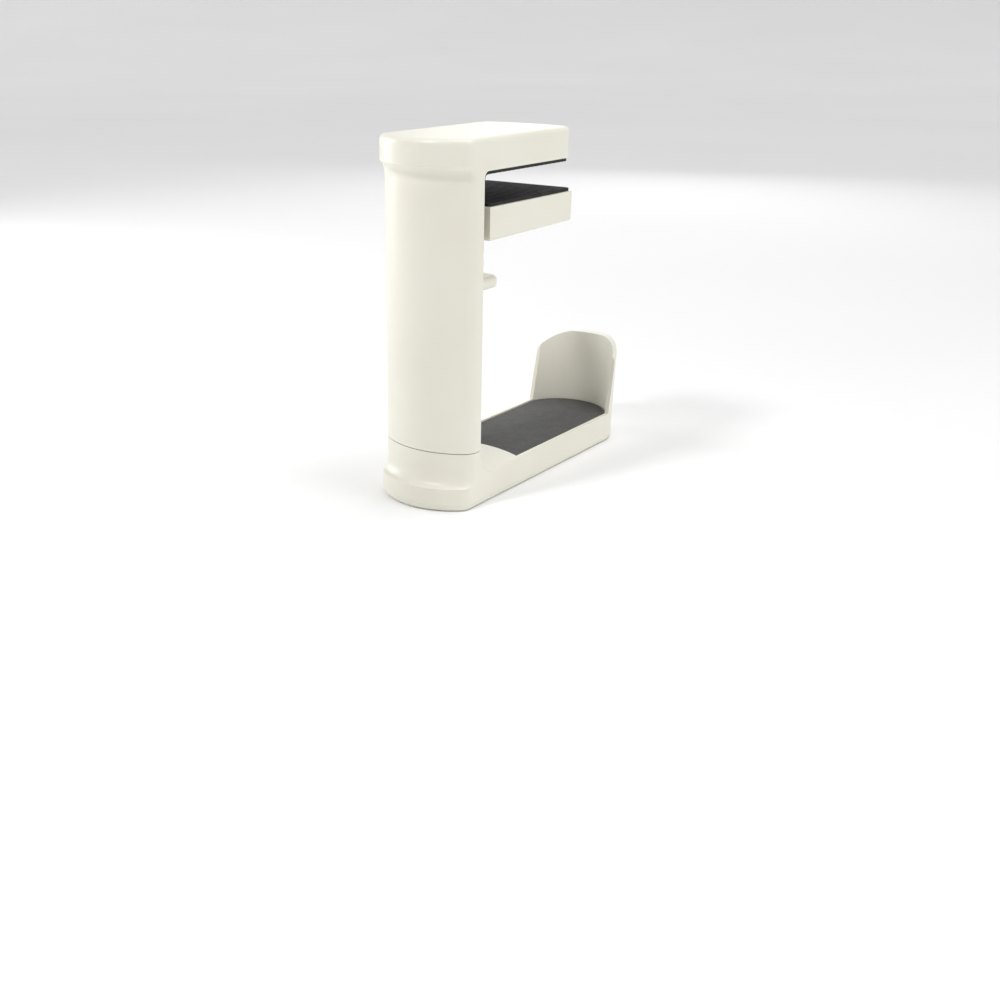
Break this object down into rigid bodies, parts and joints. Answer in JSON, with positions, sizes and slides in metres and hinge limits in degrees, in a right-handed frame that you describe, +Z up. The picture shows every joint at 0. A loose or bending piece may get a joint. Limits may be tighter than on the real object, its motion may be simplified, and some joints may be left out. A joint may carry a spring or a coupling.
{
  "type": "headphone hook",
  "caption": "Spring-clamp headphone hook: a column with padded jaws grips a desk edge, and a saddle arm with an upturned lip swivels below it.",
  "frame": {"origin": "centre of the upper jaw pad's face, where it rests on the desk top", "axes": "+Z up, +Y into the desk along the jaws and the arm, X across the width"},
  "size_m": [0.04, 0.133, 0.1333],
  "materials": {
    "cream_abs": "satin moulded plastic",
    "grey_rubber": "matt, fine grain",
    "black_rubber": "matt, fine ribs",
    "grey_nylon": "matt",
    "white_acetal": "smooth",
    "zinc_steel": "zinc plated",
    "bright_steel": "ground and polished",
    "spring_steel": "drawn wire"
  },
  "bodies": {
    "column": {"column_shell": "cream_abs", "rear_cover": "cream_abs", "upper_jaw_plate": "cream_abs", "upper_jaw_pad": "black_rubber", "upper_jaw_plate_screws": "zinc_steel", "rear_cover_screws": "zinc_steel", "guide_rod_left": "bright_steel", "guide_rod_right": "bright_steel", "clamp_spring_left": "spring_steel", "clamp_spring_right": "spring_steel", "pivot_block": "grey_nylon", "swivel_bush": "white_acetal"},
    "lower_jaw": {"carriage": "grey_nylon", "lower_jaw_shell": "cream_abs", "lower_jaw_plate": "cream_abs", "lower_jaw_pad": "black_rubber", "lower_jaw_plate_screws": "zinc_steel", "lower_jaw_screws": "zinc_steel", "finger_tab": "cream_abs", "finger_tab_screws": "zinc_steel"},
    "hook": {"hook_arm": "cream_abs", "saddle_pad": "grey_rubber", "bottom_cover": "cream_abs", "bottom_cover_screws": "zinc_steel", "swivel_bolt": "zinc_steel", "slip_ring": "white_acetal", "flat_washer": "bright_steel", "disc_spring": "spring_steel", "lock_nut": "zinc_steel"}
  },
  "joints": [
    {"name": "jaw_slide", "type": "slide", "parent": "column", "child": "lower_jaw", "axis": [0, 0, 1], "range_m": [-0.022, 0.0075], "stiffness_N_per_m": 500, "springref_m": 0.05, "deforming": ["clamp_spring_left", "clamp_spring_right"]},
    {"name": "hook_swivel", "type": "hinge", "parent": "column", "child": "hook", "pos_m": [0, -0.0344, -0.099], "axis": [0, 0, 1], "continuous": true}
  ]
}
